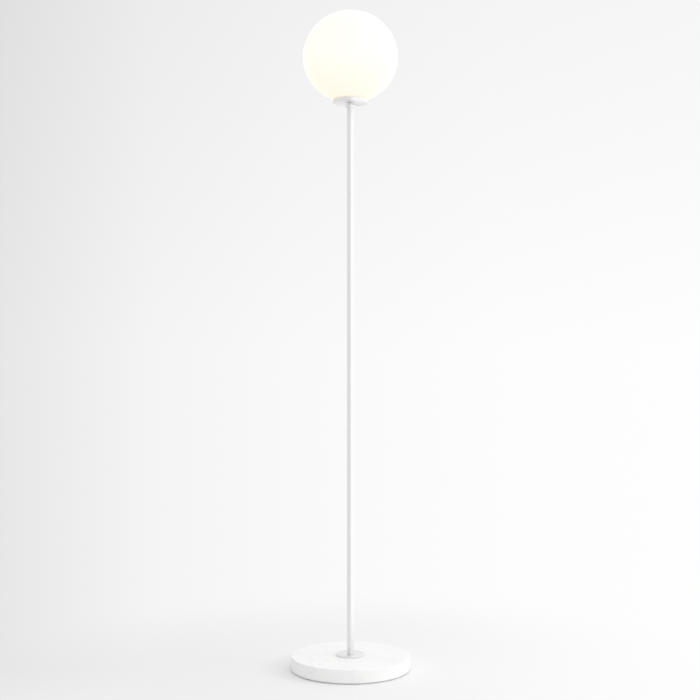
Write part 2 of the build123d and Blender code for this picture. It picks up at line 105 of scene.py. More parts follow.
def apart(tree, vector):
    return addNode(tree, "ShaderNodeSeparateXYZ", {0: vector}).outputs


def objectPlace(tree, scale=(1, 1, 1), turn=(0, 0, 0)):
    place = addNode(tree, "ShaderNodeTexCoord").outputs["Object"]
    inputs = {"Vector": place, "Scale": scale, "Rotation": turn}
    return addNode(tree, "ShaderNodeMapping", inputs).outputs[0]


def noiseValue(tree, place, scale, detail=3.0, roughness=0.55, distortion=0.0):
    inputs = {"Vector": place, "Scale": scale, "Detail": detail}
    inputs.update({"Roughness": roughness, "Distortion": distortion})
    return addNode(tree, "ShaderNodeTexNoise", inputs).outputs["Fac"]


def radiusAndHeight(tree):
    # of a point, from the pole's axis and from the floor
    x, y, z = apart(tree, addNode(tree, "ShaderNodeTexCoord").outputs["Object"])
    return maths(tree, "SQRT", plus(tree, times(tree, x, x), times(tree, y, y))), z


def bumpFrom(tree, height, strength, distance):
    inputs = {"Height": height, "Strength": strength, "Distance": distance}
    return addNode(tree, "ShaderNodeBump", inputs).outputs[0]


def startMaterial(name):
    material = bpy.data.materials.new(name)
    material.use_nodes = True
    material.node_tree.nodes.clear()
    return material, material.node_tree


def finishMaterial(material, tree, inputs):
    surface = addNode(tree, "ShaderNodeBsdfPrincipled", inputs)
    addNode(tree, "ShaderNodeOutputMaterial", {0: surface.outputs[0]})
    return material


def place(thing):
    bpy.context.scene.collection.objects.link(thing)
    return thing


# camera: level, a little below the middle of the lamp, as in the photograph

cameraSetup = {
    "distance": 2.90,        # from the pole's axis
    "height": 0.7399,
    "aside": -0.0009,
    "lens": 64.3,
    "sensor": 36.0,
}


def makeCamera():
    camera = place(bpy.data.objects.new("camera", bpy.data.cameras.new("camera")))
    camera.data.lens = cameraSetup["lens"]
    camera.data.sensor_width = cameraSetup["sensor"]
    camera.location = (cameraSetup["aside"], -cameraSetup["distance"], cameraSetup["height"])
    camera.rotation_euler = (pi / 2, 0, 0)
    bpy.context.scene.camera = camera


makeCamera()
print("camera made")


# studio: pale endless floor, even light that is stronger at the right, a backdrop with painted shade that
# darkens towards the left and upwards, and a brighter right side for the metal to mirror

studio = {
    # painted shade: the backdrop's tone falls from the right to the left, as the light does
    "backdrop": [                         # from left to right: metres aside for each metre ahead, and tone
        (-0.28, 0.80), (-0.16, 0.905), (-0.05, 0.945), (0.12, 0.978), (0.28, 0.99),
    ],
    # painted shade: the backdrop darkens from the horizon up
    "topDarker": 0.075,                   # how much the backdrop darkens from the horizon up
    "topReach": 0.28,
    "leastAhead": 0.05,                   # keeps the division finite straight to the side
    "mirrorLeft": 0.865,                  # what metal mirrors at the left and at the right
    "mirrorRight": 1.19,
    "mirrorFrom": -0.16,
    "mirrorTo": 0.40,
    "floorRadius": 60.0,
    # the floor's colour is this share of the backdrop's tone, painted shade included
    "floor": 0.925,                       # share of the backdrop's tone
    "plainFloorFrom": 0.26,               # metres from the pole where the floor starts to turn plain
    "plainFloorTo": 0.95,
    "mirrorFloorFrom": 0.14,              # the same for the floor that metal mirrors
    "mirrorFloorTo": 0.22,
    "mirrorFloorMiddle": 0.1,             # softens the change from left to right near the pole
    "openUnder": 0.069,                   # the floor is clear inside the felt ring, for the view from below
    "viewDistance": 2.9,
    "fill": 0.77,                         # even light from all round
    "fillRight": 0.25,                    # how much stronger it is from the right
    "fillTop": 0.30,
    "keyPlace": (2.4, -0.60, 1.30),       # the key light is aimed at the foot of the lamp
    "keySize": 0.8,
    "keyPower": 1.15,
    "keySpread": 62,                      # degrees
}


def backdropToneWithPaintedShade(tree, sideways):
    # the backdrop's tone with painted shade, darker at the left
    reach = studio["backdrop"][-1][0]
    share = spread(tree, sideways, -reach, reach, 0.0, 1.0)
    stops = [((place + reach) / (2 * reach), (tone, tone, tone)) for place, tone in studio["backdrop"]]
    return ramp(tree, share, stops)


def mirroredTone(tree, sideways):
    return spread(tree, sideways, studio["mirrorFrom"], studio["mirrorTo"],
                  studio["mirrorLeft"], studio["mirrorRight"], smooth=True)


def plainRays(tree):
    # rays that see the backdrop's own tone, and those among them that come from a reflection
    rays = addNode(tree, "ShaderNodeLightPath").outputs
    straight = maths(tree, "MAXIMUM", rays["Is Camera Ray"], rays["Is Transmission Ray"])
    return maths(tree, "MAXIMUM", straight, rays["Is Glossy Ray"]), rays["Is Glossy Ray"]


def makeWorld():
    world = bpy.data.worlds.new("studio")
    bpy.context.scene.world = world
    world.use_nodes = True
    tree = world.node_tree
    tree.nodes.clear()
    x, y, z = apart(tree, addNode(tree, "ShaderNodeTexCoord").outputs["Generated"])
    level = plus(tree, times(tree, x, studio["fillRight"]), studio["fill"])
    level = plus(tree, times(tree, z, studio["fillTop"]), level)
    light = addNode(tree, "ShaderNodeBackground", {"Color": (1, 1, 1, 1), "Strength": level})
    # painted shade on the backdrop: darker at the left and higher up
    ahead = maths(tree, "MAXIMUM", maths(tree, "ABSOLUTE", y), studio["leastAhead"])
    darker = spread(tree, z, 0.0, studio["topReach"], 1.0, 1.0 - studio["topDarker"])
    seen = mixColours(tree, 1.0, backdropToneWithPaintedShade(tree, maths(tree, "DIVIDE", x, ahead)), darker, "MULTIPLY")
    plain, glossy = plainRays(tree)
    tone = mixColours(tree, glossy, seen, mirroredTone(tree, x))
    backdrop = addNode(tree, "ShaderNodeBackground", {"Color": tone, "Strength": 1.0})
    addNode(tree, "ShaderNodeOutputWorld", {0: mixShaders(tree, plain, light, backdrop).outputs[0]})


def makeFloor():
    shape = bmesh.new()
    bmesh.ops.create_circle(shape, cap_ends=True, segments=96, radius=studio["floorRadius"])
    material, tree = startMaterial("paleFloor")
    radius, _ = radiusAndHeight(tree)
    x, y, _ = apart(tree, addNode(tree, "ShaderNodeTexCoord").outputs["Object"])
    ahead = plus(tree, maths(tree, "ABSOLUTE", y), studio["viewDistance"])
    # painted shade: the far floor and the floor's colour are darker at the left, as the backdrop is
    seen = backdropToneWithPaintedShade(tree, maths(tree, "DIVIDE", x, ahead))
    near = plus(tree, radius, studio["mirrorFloorMiddle"])
    mirrored = mirroredTone(tree, maths(tree, "DIVIDE", x, near))
    plain, glossy = plainRays(tree)
    far = spread(tree, radius, studio["plainFloorFrom"], studio["plainFloorTo"], 0.0, 1.0, smooth=True)
    inMetal = spread(tree, radius, studio["mirrorFloorFrom"], studio["mirrorFloorTo"], 0.0, 1.0, smooth=True)
    far = maths(tree, "MAXIMUM", far, times(tree, inMetal, glossy))
    darker = mixColours(tree, 1.0, seen, (studio["floor"],) * 3 + (1,), "MULTIPLY")
    lit = addNode(tree, "ShaderNodeBsdfDiffuse", {"Color": darker})
    pale = addNode(tree, "ShaderNodeEmission", {"Color": mixColours(tree, glossy, seen, mirrored)})
    both = mixShaders(tree, times(tree, far, plain), lit, pale)
    under = addNode(tree, "ShaderNodeNewGeometry").outputs["Backfacing"]
    under = maths(tree, "MAXIMUM", under, maths(tree, "LESS_THAN", radius, studio["openUnder"]))
    whole = mixShaders(tree, under, both, addNode(tree, "ShaderNodeBsdfTransparent"))
    addNode(tree, "ShaderNodeOutputMaterial", {0: whole.outputs[0]})
    pieceFrom(shape, "floor", material)


def makeKeyLight():
    light = bpy.data.lights.new("keyLight", "AREA")
    light.shape = "SQUARE"
    light.size = studio["keySize"]
    light.energy = studio["keyPower"]
    light.spread = radians(studio["keySpread"])
    lamp = place(bpy.data.objects.new("keyLight", light))
    lamp.location = studio["keyPlace"]
    lamp.rotation_euler = (-Vector(studio["keyPlace"])).to_track_quat("-Z", "Y").to_euler()
    lamp.visible_camera = False
    lamp.visible_glossy = False


def pieceFrom(shape, name, *materials):
    mesh = bpy.data.meshes.new(name)
    shape.to_mesh(mesh)
    shape.free()
    for material in materials:
        mesh.materials.append(material)
    return place(bpy.data.objects.new(name, mesh))


makeWorld()
makeFloor()
makeKeyLight()
bpy.context.scene.view_settings.view_transform = "Standard"
print("studio made")


# materials

opalLook = {
    # painted glow: the bulb's light as emission, warmer and a little dimmer at the neck
    "glow": [                    # from the neck to the top
        (0.0, (0.59, 0.51, 0.38)), (0.16, (0.60, 0.56, 0.44)), (0.45, (0.60, 0.60, 0.52)),
        (1.0, (0.58, 0.565, 0.475)),
    ],
    "body": [(0.3, (0.495, 0.495, 0.49)), (0.7, (0.515, 0.515, 0.51))],
    "cloudScale": 14.0,
    "rippleScale": 30.0,
    "rippleStrength": 0.08,
    "rippleHeight": 0.001,
    "roughness": 0.35,
    "shine": 0.2,
}


def opalGlass():
    # white glass with the bulb's glow painted in as emission, warmer and a little dimmer low down towards
    # the neck
    material, tree = startMaterial("opalGlass")
    low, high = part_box("globe")
    share = spread(tree, radiusAndHeight(tree)[1], low.z, high.z, 0.0, 1.0)
    clouds = noiseValue(tree, objectPlace(tree), opalLook["cloudScale"], 2.0)
    ripple = noiseValue(tree, objectPlace(tree, scale=(1, 1, 0.6)), opalLook["rippleScale"], 2.0)
    return finishMaterial(material, tree, {
        "Base Color": ramp(tree, clouds, opalLook["body"]),
        "Roughness": opalLook["roughness"],
        "Specular IOR Level": opalLook["shine"],
        "Emission Color": ramp(tree, share, opalLook["glow"]),
        "Emission Strength": 1.0,
        "Normal": bumpFrom(tree, ripple, opalLook["rippleStrength"], opalLook["rippleHeight"]),
    })


metalLook = {
    "wearScale": 28.0,
    "wearDarker": 0.06,          # share of the colour that handling takes away
    "wearRoughness": (-0.02, 0.03),
    "markHeight": 0.0002,
}


def metal(name, colour, roughness, marks, markScale, markStrength, spots=0.04, stretch=0.0, worn=1.0):
    # turned or cast metal; marks is "round" or "cast"; stretch draws reflections out across turning marks
    material, tree = startMaterial(name)
    if marks == "round":
        radius, height = radiusAndHeight(tree)
        where = addNode(tree, "ShaderNodeCombineXYZ", {0: radius, 1: height, 2: 0.0}).outputs[0]
    else:
        where = objectPlace(tree)
    lines = noiseValue(tree, where, markScale, 4.0, 0.7)
    wear = noiseValue(tree, objectPlace(tree), metalLook["wearScale"], 4.0)
    dark = tuple(c * (1 - metalLook["wearDarker"] * worn) for c in colour)
    smoother, rougher = metalLook["wearRoughness"]
    rough = plus(tree, spread(tree, lines, 0.3, 0.7, -spots, spots), roughness)
    rough = plus(tree, rough, spread(tree, wear, 0.3, 0.7, smoother * worn, rougher * worn))
    inputs = {
        "Base Color": ramp(tree, wear, [(0.35, dark), (0.65, colour)]),
        "Metallic": 1.0,
        "Roughness": rough,
        "Normal": bumpFrom(tree, lines, markStrength, metalLook["markHeight"]),
    }
    if stretch:
        inputs["Anisotropic"] = stretch
        inputs["Anisotropic Rotation"] = 0.25
        inputs["Tangent"] = addNode(tree, "ShaderNodeTangent", direction_type="RADIAL", axis="Z").outputs[0]
    return finishMaterial(material, tree, inputs)


stoneLook = {
    "turn": (0.5, 0.2, 0.7),     # the veins run slantwise
    "bend": 0.10,
    "bendScale": 9.0,
    "veinScale": 7.0,
    "veinWidth": 0.022,
    "veinStrength": 0.22,
    "veinColour": (0.72, 0.73, 0.74, 1),
    "patchScale": 3.2,           # veins show only in patches
    "cloudScale": 11.0,
    "body": [(0.30, (0.91, 0.91, 0.91)), (0.55, (0.94, 0.94, 0.935)), (0.8, (0.95, 0.95, 0.945))],
    "roughness": 0.42,
    "shine": 0.4,
}


def whiteMarble():
    # honed white stone: soft clouds and a few thin grey veins
    material, tree = startMaterial("whiteMarble")
    look = stoneLook
    where = objectPlace(tree, turn=look["turn"])
    drift = addNode(tree, "ShaderNodeTexNoise", {"Vector": where, "Scale": look["bendScale"], "Detail": 4.0})
    mixed = {0: look["bend"], 4: where, 5: drift.outputs["Color"]}
    bend = addNode(tree, "ShaderNodeMix", mixed, data_type="VECTOR").outputs[1]
    middle = maths(tree, "SUBTRACT", noiseValue(tree, bend, look["veinScale"], 5.0, 0.5, 0.6), 0.5)
    vein = spread(tree, maths(tree, "ABSOLUTE", middle), 0.0, look["veinWidth"], 1.0, 0.0, smooth=True)
    patch = noiseValue(tree, where, look["patchScale"], 2.0)
    vein = times(tree, vein, spread(tree, patch, 0.46, 0.62, 0.0, 1.0, smooth=True))
    clouds = noiseValue(tree, bend, look["cloudScale"], 5.0, 0.6)
    body = ramp(tree, clouds, look["body"])
    grain = noiseValue(tree, where, 900.0, 2.0)
    return finishMaterial(material, tree, {
        "Base Color": mixColours(tree, times(tree, vein, look["veinStrength"]), body, look["veinColour"]),
        "Roughness": plus(tree, spread(tree, grain, 0.3, 0.7, -0.04, 0.04), look["roughness"]),
        "Specular IOR Level": look["shine"],
        "Normal": bumpFrom(tree, grain, 0.05, 0.0002),
    })


def feltPad():
    material, tree = startMaterial("feltPad")
    fibres = noiseValue(tree, objectPlace(tree, scale=(1, 1, 2)), 1400.0, 3.0, 0.7, 1.5)
    return finishMaterial(material, tree, {
        "Base Color": ramp(tree, fibres, [(0.3, (0.80, 0.80, 0.81)), (0.7, (0.90, 0.90, 0.91))]),
        "Roughness": 0.95,
        "Sheen Weight": 0.3,
        "Normal": bumpFrom(tree, fibres, 0.6, 0.0006),
    })


def moulded(name, colour, roughness, texture=600.0, bump=0.06, glow=None):
    # plastic, rubber or ceramic: fine moulded texture, faint change of tone and shine
    material, tree = startMaterial(name)
    fine = noiseValue(tree, objectPlace(tree), texture, 3.0)
    broad = noiseValue(tree, objectPlace(tree), texture / 14.0, 3.0)
    dark = tuple(c * 0.93 for c in colour)
    inputs = {
        "Base Color": ramp(tree, broad, [(0.3, dark), (0.65, colour)]),
        "Roughness": plus(tree, spread(tree, fine, 0.3, 0.7, -0.05, 0.05), roughness),
        "Normal": bumpFrom(tree, fine, bump, 0.0003),
    }
    if glow:
        inputs["Emission Color"] = (*glow, 1)
        inputs["Emission Strength"] = 1.0
    return finishMaterial(material, tree, inputs)


finishes = {
    "opal_glass": opalGlass(),
    "white_marble": whiteMarble(),
    "felt": feltPad(),
    "satin_nickel": metal("satinNickelTurned", (0.86, 0.86, 0.86), 0.26, "round", 900.0, 0.08,
                          spots=0.03, stretch=0.5, worn=0.5),
    "zinc_steel": metal("zincSteel", (0.70, 0.71, 0.72), 0.32, "cast", 260.0, 0.15),
    "spring_steel": metal("springSteel", (0.58, 0.59, 0.61), 0.28, "cast", 420.0, 0.12),
    "brass": metal("brass", (0.80, 0.62, 0.30), 0.26, "round", 1200.0, 0.12),
    "bronze": metal("bronze", (0.72, 0.47, 0.28), 0.30, "cast", 500.0, 0.10),
    "solder": metal("solder", (0.66, 0.66, 0.67), 0.38, "cast", 700.0, 0.35),
    "bulb_cap_metal": metal("bulbCapMetal", (0.76, 0.76, 0.75), 0.24, "round", 700.0, 0.10),
    "silicone": moulded("silicone", (0.84, 0.84, 0.82), 0.45),
    "white_rubber": moulded("paleRubber", (0.74, 0.74, 0.73), 0.65, bump=0.12),
    "terminal_plastic": moulded("naturalNylon", (0.85, 0.84, 0.79), 0.5),
    "holder_plastic": moulded("holderPlastic", (0.88, 0.88, 0.86), 0.30),
    "holder_ceramic": moulded("steatite", (0.86, 0.82, 0.74), 0.75, texture=900.0, bump=0.2),
    "brown_insulation": moulded("brownInsulation", (0.27, 0.13, 0.06), 0.4),
    "blue_insulation": moulded("blueInsulation", (0.04, 0.19, 0.55), 0.4),
    "black_glass": moulded("blackGlass", (0.02, 0.02, 0.025), 0.1),
    "bulb_plastic": moulded("bulbPlastic", (0.90, 0.90, 0.89), 0.35),
    "circuit_board": moulded("circuitBoard", (0.05, 0.26, 0.11), 0.35),
    "led_board_white": moulded("ledBoardWhite", (0.90, 0.90, 0.88), 0.4),
    "led_phosphor": moulded("ledPhosphor", (0.93, 0.74, 0.16), 0.3),
    "bulb_diffuser": moulded("bulbDiffuser", (0.60, 0.60, 0.58), 0.45, glow=(0.66, 0.58, 0.44)),
}
# the same nickel as the pole and the dish show it, ground finer and spun
poleNickel = metal("satinNickelGround", (0.85, 0.85, 0.85), 0.286, "round", 1500.0, 0.03,
                   spots=0.02, stretch=0.93, worn=0.25)
dishNickel = metal("satinNickelSpun", (0.855, 0.85, 0.85), 0.38, "round", 900.0, 0.08,
                   spots=0.03, stretch=0.6, worn=0.5)
print("materials made")


# round pieces: an outline in the radius and height plane, turned about the pole's axis by one node tree

mm = 0.001


def roundedOutline(corners, radii, arcSteps=8):
    # corners in millimetres; one with a radius becomes an arc in short steps
    outline = []
    for i, (corner, radius) in enumerate(zip(corners, radii)):
        here, before, after = Vector(corner), Vector(corners[i - 1]), Vector(corners[(i + 1) % len(corners)])
        if radius <= 0:
            outline.append(here)
            continue
        back, ahead = (before - here).normalized(), (after - here).normalized()
        half = back.angle(ahead) / 2
        centre = here + (back + ahead).normalized() * radius / sin(half)
        first, last = here + back * radius / tan(half) - centre, here + ahead * radius / tan(half) - centre
        start, sweep = atan2(first.y, first.x), first.angle_signed(last)
        for step in range(arcSteps + 1):
            angle = start - sweep * step / arcSteps
            outline.append(centre + radius * Vector((cos(angle), sin(angle))))
    return outline


def ringOutline(inner, outer, low, high, radii, arcSteps):
    return roundedOutline([(inner, low), (outer, low), (outer, high), (inner, high)], radii, arcSteps)


def densified(outline, least, most, step):
    # extra points on the upright stretches between two radii, for a thread or grips to bend
    dense = []
    for here, after in zip(outline, outline[1:] + outline[:1]):
        dense.append(here)
        if abs(here[0] - after[0]) < 0.01 and least < here[0] < most:
            count = ceil(abs(after[1] - here[1]) / step)
            dense += [Vector(here).lerp(Vector(after), i / count) for i in range(1, count)]
    return dense


def field(tree, kind, inputs=None, output=0, **settings):
    return addNode(tree, kind, inputs, **settings).outputs[output]


def newTree(name, sizes):
    # sizes: name of each input, with its socket type
    tree = bpy.data.node_groups.new(name, "GeometryNodeTree")
    tree.interface.new_socket("Geometry", in_out="INPUT", socket_type="NodeSocketGeometry")
    for label, kind in sizes.items():
        tree.interface.new_socket(label, in_out="INPUT", socket_type="NodeSocket" + kind)
    tree.interface.new_socket("Geometry", in_out="OUTPUT", socket_type="NodeSocketGeometry")
    return tree, addNode(tree, "NodeGroupInput").outputs


def endTree(tree, geometry, material):
    real = field(tree, "GeometryNodeRealizeInstances", {0: geometry})
    dressed = field(tree, "GeometryNodeSetMaterial", {"Geometry": real, "Material": material})
    addNode(tree, "NodeGroupOutput", {0: dressed})
    return tree


def smoothed(tree, geometry, angle):
    # smooth shading that stops at edges sharper than the angle
    soft = field(tree, "GeometryNodeSetShadeSmooth", {"Geometry": geometry, "Shade Smooth": True})
    bend = field(tree, "GeometryNodeInputMeshEdgeAngle", output="Unsigned Angle")
    sharp = field(tree, "FunctionNodeCompare", {0: bend, 1: angle},
                  data_type="FLOAT", operation="GREATER_THAN")
    return field(tree, "GeometryNodeSetShadeSmooth",
                 {"Geometry": soft, "Selection": sharp, "Shade Smooth": False}, domain="EDGE")


def onCircle(tree, radius, angle, height=0.0):
    return field(tree, "ShaderNodeCombineXYZ", {
        0: times(tree, radius, maths(tree, "COSINE", angle)),
        1: times(tree, radius, maths(tree, "SINE", angle)),
        2: height,
    })


def turningTree():
    tree, given = newTree("turnedPiece", {
        "Segments": "Int",
        "Sharp Angle": "Float",
        "Thread Pitch": "Float",
        "Thread Depth": "Float",
        "Thread From": "Float",      # lowest height, highest height and least radius that carry the thread
        "Thread To": "Float",
        "Thread Outside": "Float",
        "Thread Bias": "Float",      # share of the thread that stands out from the outline
        "Round Thread": "Bool",
        "Grip Count": "Int",
        "Grip Depth": "Float",
        "Grip From": "Float",
        "Grip To": "Float",
        "Grip Outside": "Float",
        "Across Flats": "Float",     # of a nut; 0 leaves the piece round
        "Material": "Material",
    })
    points = field(tree, "GeometryNodeAttributeDomainSize", {"Geometry": given["Geometry"]}, "Point Count")
    rows = plus(tree, given["Segments"], 1.0)
    grid = field(tree, "GeometryNodeMeshGrid",
                 {"Size X": 1.0, "Size Y": 1.0, "Vertices X": points, "Vertices Y": rows})
    here = apart(tree, field(tree, "GeometryNodeInputPosition"))
    along = times(tree, plus(tree, here[0], 0.5), maths(tree, "SUBTRACT", points, 1.0))
    taken = field(tree, "GeometryNodeSampleIndex", {
        "Geometry": given["Geometry"],
        "Value": field(tree, "GeometryNodeInputPosition"),
        "Index": maths(tree, "ROUND", along),
    }, data_type="FLOAT_VECTOR")
    radius, _, height = apart(tree, taken)
    turn = plus(tree, here[1], 0.5)
    angle = times(tree, turn, 2 * pi)

    def within(low, high, outside, runOut):
        up = maths(tree, "DIVIDE", maths(tree, "SUBTRACT", height, low), runOut, clamp=True)
        down = maths(tree, "DIVIDE", maths(tree, "SUBTRACT", high, height), runOut, clamp=True)
        return times(tree, times(tree, up, down), maths(tree, "GREATER_THAN", radius, outside))

    phase = maths(tree, "SUBTRACT", maths(tree, "DIVIDE", height, given["Thread Pitch"]), turn)
    wave = maths(tree, "MULTIPLY_ADD", maths(tree, "COSINE", times(tree, phase, 2 * pi)), 0.5, 0.5)
    tooth = times(tree, maths(tree, "PINGPONG", phase, 0.5), 2.0)
    form = field(tree, "GeometryNodeSwitch",
                 {"Switch": given["Round Thread"], "False": tooth, "True": wave}, input_type="FLOAT")
    form = maths(tree, "SUBTRACT", form, given["Thread Bias"])
    cut = within(given["Thread From"], given["Thread To"], given["Thread Outside"],
                 times(tree, given["Thread Pitch"], 0.75))
    cut = times(tree, times(tree, form, cut), given["Thread Depth"])
    flute = maths(tree, "COSINE", times(tree, angle, given["Grip Count"]))
    flute = maths(tree, "MULTIPLY_ADD", flute, 0.5, 0.5)
    grip = within(given["Grip From"], given["Grip To"], given["Grip Outside"], 0.8 * mm)
    grip = times(tree, times(tree, flute, grip), given["Grip Depth"])
    radius = maths(tree, "SUBTRACT", maths(tree, "SUBTRACT", radius, cut), grip)

    aside = maths(tree, "SUBTRACT", maths(tree, "FLOORED_MODULO", angle, pi / 3), pi / 6)
    flat = maths(tree, "DIVIDE", times(tree, given["Across Flats"], 0.5), maths(tree, "COSINE", aside))
    isRound = maths(tree, "LESS_THAN", given["Across Flats"], 1e-6)
    radius = maths(tree, "MINIMUM", radius, plus(tree, flat, isRound))

    shaped = field(tree, "GeometryNodeSetPosition",
                   {"Geometry": grid, "Position": onCircle(tree, radius, angle, height)})
    closed = field(tree, "GeometryNodeMergeByDistance", {"Geometry": shaped, "Distance": 0.002 * mm})
    return endTree(tree, smoothed(tree, closed, given["Sharp Angle"]), given["Material"])


def evaluated(piece):
    # the piece's mesh with its modifier worked in
    bpy.context.view_layer.update()
    shaped = bpy.data.meshes.new_from_object(piece.evaluated_get(bpy.context.evaluated_depsgraph_get()))
    piece.modifiers.clear()
    piece.data = shaped
    return piece


def grow(name, mesh, tree, sizes):
    # runs a node tree on a mesh once and keeps the result as a plain closed mesh with its faces outwards
    piece = place(bpy.data.objects.new(name, mesh))
    modifier = piece.modifiers.new("shape", "NODES")
    modifier.node_group = tree
    for item in tree.interface.items_tree:
        if item.in_out == "INPUT" and item.name in sizes:
            modifier[item.identifier] = sizes[item.name]
    evaluated(piece).data.name = name
    facesOutwards(piece.data)
    return piece


def facesOutwards(mesh):
    shape = bmesh.new()
    shape.from_mesh(mesh)
    loose = [edge for edge in shape.edges if not edge.link_faces]
    bmesh.ops.delete(shape, geom=loose, context="EDGES")
    bmesh.ops.recalc_face_normals(shape, faces=shape.faces)
    shape.to_mesh(mesh)
    shape.free()


turning = turningTree()


def turned(name, outline, material, segments=96, sharpAngle=35.0, **details):
    # outline points in millimetres; the last is joined to the first, unless both are on the axis
    mesh = bpy.data.meshes.new(name + "Outline")
    ring = outline + outline[:1] if outline[0][0] > 0 else outline
    mesh.from_pydata([(r * mm, 0, z * mm) for r, z in ring], [(i, i + 1) for i in range(len(ring) - 1)], [])
    sizes = {"Segments": segments, "Sharp Angle": radians(sharpAngle), "Thread Pitch": 1.0}
    return grow(name, mesh, turning, {**sizes, **details, "Material": material})


slotOf = {part["node"]: part["material_slot"] for part in frame["record"]["subparts"]}


def stands(piece, node, body="lamp_stand"):
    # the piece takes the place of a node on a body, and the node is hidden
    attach(piece, body)
    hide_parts(node)


def heights(node):
    low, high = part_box(node)
    return low.z / mm, high.z / mm


def reach(node):
    # radius of a round node, in millimetres
    return max(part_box(node)[1].x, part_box(node)[1].y) / mm


# globe: blown opal glass, turned from two half ellipses, with a short fire-polished neck

globeShape = {
    "upperHeight": 107.0,        # from the widest ring to the top
    "lowerHeight": 102.75,       # half height of the ellipse that the lower half follows
    "topPlay": 0.01,             # keeps the top inside the lamp's height
    "glass": 2.5,
    "neckOuter": 37.0,
    "neckInner": 33.0,
    "lipRound": 1.5,
    "arcSteps": 56,
    "segments": 160,
}


def globeWall(inset, fromRadius, top):
    # from the neck's radius, round the widest ring, to the top
    g = globeShape
    wide, middle = reach("globe") - inset, top - g["upperHeight"]
    start = -acos(fromRadius / wide)
    angles = [start + (pi / 2 - start) * i / g["arcSteps"] for i in range(g["arcSteps"] + 1)]
    upper, lower = g["upperHeight"] - g["topPlay"] - inset, g["lowerHeight"] - inset
    return [(max(wide * cos(a), 0.0), middle + (upper if a > 0 else lower) * sin(a)) for a in angles]


def makeGlobe():
    g = globeShape
    low, high = heights("globe")
    outside = globeWall(0.0, g["neckOuter"], high)
    inside = globeWall(g["glass"], g["neckInner"], high)
    lip = [outside[0], (g["neckOuter"], low), (g["neckInner"], low), inside[0]]
    lip = roundedOutline(lip, [0, g["lipRound"], g["lipRound"], 0])[1:-1]
    outline = outside[::-1] + lip + inside
    stands(turned("globeGlass", outline, finishes["opal_glass"], g["segments"], 50.0), "globe", "globe")


# pole: three drawn tubes whose softened ends meet in a hairline

poleShape = {
    "wall": 1.0,
    "endRound": 0.2,
    "segments": 96,
}


def makePole():
    soft = poleShape["endRound"]
    for node in ("pole_lower", "pole_middle", "pole_upper"):
        inner = reach(node) - poleShape["wall"]
        outline = ringOutline(inner, reach(node), *heights(node), [0, soft, soft, 0], 4)
        piece = turned(node.replace("pole_", "poleTube_"), outline, poleNickel, poleShape["segments"])
        stands(piece, node)


# turned metal between the pole and the globe, and the collar on the stone

pipeHole, nutHole = 5.2, 5.05    # radius of a plain and of a threaded hole for the lamp pipe

turnedRings = {
    "pole_ferrule": {"name": "poleFerrule", "hole": nutHole, "rounds": [0, 0.8, 1.4, 0], "arcSteps": 8},
    "neck_spacer": {"name": "neckSpacer", "hole": pipeHole, "rounds": [0.15] * 4, "arcSteps": 3},
    "base_collar": {"name": "baseCollar", "hole": pipeHole, "rounds": [0, 0.3, 1.0, 0], "arcSteps": 8},
}
dishShape = {
    "wall": 1.5,
    "rounds": [0, 1.0, 1.35, 0.1, 0.5, 0],
    "arcSteps": 10,
}
turnedSegments = 128


def makeRing(node):
    ring = turnedRings[node]
    outline = ringOutline(ring["hole"], reach(node), *heights(node), ring["rounds"], ring["arcSteps"])
    stands(turned(ring["name"], outline, finishes["satin_nickel"], turnedSegments), node)


def makeDish():
    low, high = heights("globe_dish")
    wide, floor = reach("globe_dish"), low + dishShape["wall"]
    inner = wide - dishShape["wall"]
    corners = [(pipeHole, low), (wide, low), (wide, high), (inner, high), (inner, floor), (pipeHole, floor)]
    outline = roundedOutline(corners, dishShape["rounds"], dishShape["arcSteps"])
    stands(turned("globeDish", outline, dishNickel, turnedSegments), "globe_dish")


# felt ring under the stone: punched, so its edges are a little fuzzy and uneven

feltShape = {
    "inner": 70.0,
    "edgeRound": 0.9,
    "topRound": 0.2,
    "unevenness": 0.35,
    "patchSize": 4.0,
    "segments": 360,
}


def makeFelt():
    f = feltShape
    outer, inner = reach("base_pad"), f["inner"]
    rounds = [f["edgeRound"], f["edgeRound"], f["topRound"], f["topRound"]]
    outline = ringOutline(inner, outer, *heights("base_pad"), rounds, 5)
    piece = turned("feltRing", outline, finishes["felt"], f["segments"])
    middle = (outer + inner) / 2 * mm
    for vertex in piece.data.vertices:
        flat = Vector((vertex.co.x, vertex.co.y, 0))
        loose = noise.noise(vertex.co / (f["patchSize"] * mm)) * 0.5 + 0.5
        inward = 1 if flat.length > middle else -1
        vertex.co -= flat.normalized() * inward * loose * f["unevenness"] * mm
    stands(piece, "base_pad")


# lampholder: two white halves with finger grips where they meet

holderShape = {
    "grips": 44,
    "gripDepth": 0.35,
    "gripRadius": 19.4,          # only a wall outside this radius is fluted
    "rowStep": 0.4,
    "cap": [(5.05, 0), (10, 0), (10, 3.4), (20, 13), (20, 24), (18, 24), (18, 14.4), (8, 4.7), (5.05, 4.7)],
    "capRounds": [0, 0.8, 1.5, 3, 0.4, 0, 2, 1, 0],
    "capGrips": (-8.5, -0.5),    # from the cap's top
    "shellFoot": [(18.9, 0), (20, 0), (20, 8), (18.6, 12)],
    "shellMouth": [(18.6, 0), (14.8, 0), (14.8, -3), (16.5, -4.5)],      # from the shell's top
    "shellLedge": [(16.5, 2), (18.9, 2)],
    "shellRounds": [0, 0.4, 3, 3, 1, 0.6, 0, 0, 0, 0],
    "shellGrips": (0.5, 7.5),
    "segments": 352,             # eight for each grip
}


def makeHolderHalf(name, node, outline, rounds, gripFrom, gripTo):
    h = holderShape
    outline = densified(roundedOutline(outline, rounds), h["gripRadius"], reach(node) + 1, h["rowStep"])
    grips = {
        "Grip Count": h["grips"],
        "Grip Depth": h["gripDepth"] * mm,
        "Grip Outside": h["gripRadius"] * mm,
        "Grip From": gripFrom * mm,
        "Grip To": gripTo * mm,
    }
    stands(turned(name, outline, finishes["holder_plastic"], h["segments"], **grips), node)


